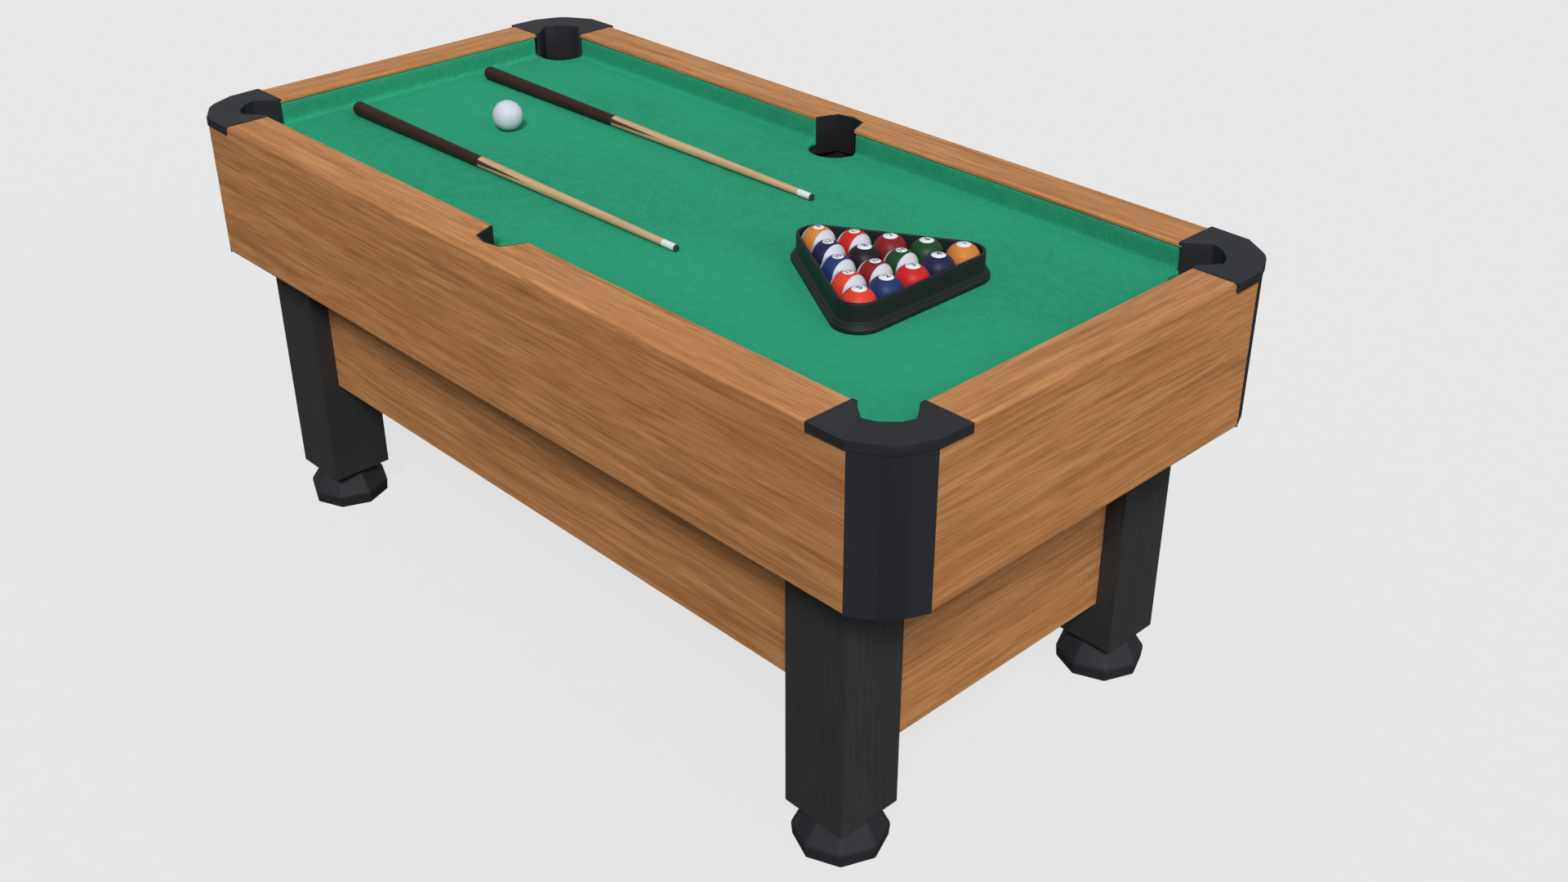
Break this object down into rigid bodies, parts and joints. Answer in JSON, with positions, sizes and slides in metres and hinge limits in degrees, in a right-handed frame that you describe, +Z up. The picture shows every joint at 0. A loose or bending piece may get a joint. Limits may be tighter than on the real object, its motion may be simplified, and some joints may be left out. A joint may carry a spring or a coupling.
{
  "type": "mini pool table",
  "caption": "Small pool table with wood-grain cabinet, dark corner castings, six pockets, square legs on leveling feet, and a rack, balls and cues laid out on green cloth.",
  "frame": {"origin": "on the floor, under the middle of the table", "axes": "+X along the table's length, from the cue ball's end to the rack's end; +Y from the front long side to the back one; +Z up"},
  "size_m": [1.217, 0.607, 0.5464],
  "materials": {
    "wood_laminate": "satin orange-brown wood laminate with fine grain along each panel",
    "dark_laminate": "satin black-grey laminate over board",
    "board": "bare fibreboard",
    "dark_plastic": "satin blue-black moulded plastic",
    "cloth": "green short-pile cloth",
    "cushion": "rubber strip covered in green cloth",
    "steel": "zinc-plated steel",
    "cue_butt": "dark stained wood, satin",
    "cue_shaft": "pale maple, satin varnish",
    "ferrule": "white plastic",
    "tip": "dark leather",
    "white_ball": "plain white resin",
    "ball_01": "coloured resin with a number disc",
    "ball_02": "coloured resin with a number disc",
    "ball_03": "coloured resin with a number disc",
    "ball_04": "coloured resin with a number disc",
    "ball_05": "coloured resin with a number disc",
    "ball_06": "coloured resin with a number disc",
    "ball_07": "coloured resin with a number disc",
    "ball_08": "coloured resin with a number disc",
    "ball_09": "white resin with a coloured band and number discs",
    "ball_10": "white resin with a coloured band and number discs",
    "ball_11": "white resin with a coloured band and number discs",
    "ball_12": "white resin with a coloured band and number discs",
    "ball_13": "white resin with a coloured band and number discs",
    "ball_14": "white resin with a coloured band and number discs",
    "ball_15": "white resin with a coloured band and number discs"
  },
  "bodies": {
    "table": {"side_apron_front": "wood_laminate", "side_rail_front": "wood_laminate", "side_skirt_front": "wood_laminate", "side_pocket_liner_front": "dark_plastic", "side_apron_back": "wood_laminate", "side_rail_back": "wood_laminate", "side_skirt_back": "wood_laminate", "side_pocket_liner_back": "dark_plastic", "end_apron_left": "wood_laminate", "end_rail_left": "wood_laminate", "end_skirt_left": "wood_laminate", "end_apron_right": "wood_laminate", "end_rail_right": "wood_laminate", "end_skirt_right": "wood_laminate", "corner_casting_front_left": "dark_plastic", "leg_front_left": "dark_laminate", "corner_casting_front_right": "dark_plastic", "leg_front_right": "dark_laminate", "corner_casting_back_left": "dark_plastic", "leg_back_left": "dark_laminate", "corner_casting_back_right": "dark_plastic", "leg_back_right": "dark_laminate", "side_cushions": "cushion", "end_cushions": "cushion", "bed_board": "board", "bed_cloth": "cloth", "bed_cleats": "board", "cabinet_floor": "board", "pocket_cups": "dark_plastic", "leg_brackets": "steel", "screws": "steel"},
    "foot_front_left": {"leveling_foot_front_left": "dark_plastic"},
    "foot_front_right": {"leveling_foot_front_right": "dark_plastic"},
    "foot_back_left": {"leveling_foot_back_left": "dark_plastic"},
    "foot_back_right": {"leveling_foot_back_right": "dark_plastic"},
    "rack": {"rack": "dark_plastic"},
    "cue_ball": {"cue_ball": "white_ball"},
    "ball_01": {"ball_01": "ball_01"},
    "ball_02": {"ball_02": "ball_02"},
    "ball_03": {"ball_03": "ball_03"},
    "ball_04": {"ball_04": "ball_04"},
    "ball_05": {"ball_05": "ball_05"},
    "ball_06": {"ball_06": "ball_06"},
    "ball_07": {"ball_07": "ball_07"},
    "ball_08": {"ball_08": "ball_08"},
    "ball_09": {"ball_09": "ball_09"},
    "ball_10": {"ball_10": "ball_10"},
    "ball_11": {"ball_11": "ball_11"},
    "ball_12": {"ball_12": "ball_12"},
    "ball_13": {"ball_13": "ball_13"},
    "ball_14": {"ball_14": "ball_14"},
    "ball_15": {"ball_15": "ball_15"},
    "cue_front": {"cue_front_butt": "cue_butt", "cue_front_shaft": "cue_shaft", "cue_front_ferrule": "ferrule", "cue_front_tip": "tip"},
    "cue_back": {"cue_back_butt": "cue_butt", "cue_back_shaft": "cue_shaft", "cue_back_ferrule": "ferrule", "cue_back_tip": "tip"}
  },
  "joints": [
    {"name": "foot_front_left_screw", "type": "slide", "parent": "table", "child": "foot_front_left", "axis": [0, 0, -1], "range_m": [0, 0.012]},
    {"name": "foot_front_right_screw", "type": "slide", "parent": "table", "child": "foot_front_right", "axis": [0, 0, -1], "range_m": [0, 0.012]},
    {"name": "foot_back_left_screw", "type": "slide", "parent": "table", "child": "foot_back_left", "axis": [0, 0, -1], "range_m": [0, 0.012]},
    {"name": "foot_back_right_screw", "type": "slide", "parent": "table", "child": "foot_back_right", "axis": [0, 0, -1], "range_m": [0, 0.012]},
    {"name": "rack_lift", "type": "slide", "parent": "table", "child": "rack", "axis": [0, 0, 1], "range_m": [0, 0.06]},
    {"name": "cue_ball_roll", "type": "slide", "parent": "table", "child": "cue_ball", "axis": [1, 0, 0], "range_m": [-0.195, 0.48]},
    {"name": "ball_01_lift", "type": "slide", "parent": "table", "child": "ball_01", "axis": [0, 0, 1], "range_m": [0, 0.05]},
    {"name": "ball_02_lift", "type": "slide", "parent": "table", "child": "ball_02", "axis": [0, 0, 1], "range_m": [0, 0.05]},
    {"name": "ball_03_lift", "type": "slide", "parent": "table", "child": "ball_03", "axis": [0, 0, 1], "range_m": [0, 0.05]},
    {"name": "ball_04_lift", "type": "slide", "parent": "table", "child": "ball_04", "axis": [0, 0, 1], "range_m": [0, 0.05]},
    {"name": "ball_05_lift", "type": "slide", "parent": "table", "child": "ball_05", "axis": [0, 0, 1], "range_m": [0, 0.05]},
    {"name": "ball_06_lift", "type": "slide", "parent": "table", "child": "ball_06", "axis": [0, 0, 1], "range_m": [0, 0.05]},
    {"name": "ball_07_lift", "type": "slide", "parent": "table", "child": "ball_07", "axis": [0, 0, 1], "range_m": [0, 0.05]},
    {"name": "ball_08_lift", "type": "slide", "parent": "table", "child": "ball_08", "axis": [0, 0, 1], "range_m": [0, 0.05]},
    {"name": "ball_09_lift", "type": "slide", "parent": "table", "child": "ball_09", "axis": [0, 0, 1], "range_m": [0, 0.05]},
    {"name": "ball_10_lift", "type": "slide", "parent": "table", "child": "ball_10", "axis": [0, 0, 1], "range_m": [0, 0.05]},
    {"name": "ball_11_lift", "type": "slide", "parent": "table", "child": "ball_11", "axis": [0, 0, 1], "range_m": [0, 0.05]},
    {"name": "ball_12_lift", "type": "slide", "parent": "table", "child": "ball_12", "axis": [0, 0, 1], "range_m": [0, 0.05]},
    {"name": "ball_13_lift", "type": "slide", "parent": "table", "child": "ball_13", "axis": [0, 0, 1], "range_m": [0, 0.05]},
    {"name": "ball_14_lift", "type": "slide", "parent": "table", "child": "ball_14", "axis": [0, 0, 1], "range_m": [0, 0.05]},
    {"name": "ball_15_lift", "type": "slide", "parent": "table", "child": "ball_15", "axis": [0, 0, 1], "range_m": [0, 0.05]},
    {"name": "cue_front_lift", "type": "slide", "parent": "table", "child": "cue_front", "axis": [0, 0, 1], "range_m": [0, 0.06]},
    {"name": "cue_back_lift", "type": "slide", "parent": "table", "child": "cue_back", "axis": [0, 0, 1], "range_m": [0, 0.06]}
  ]
}
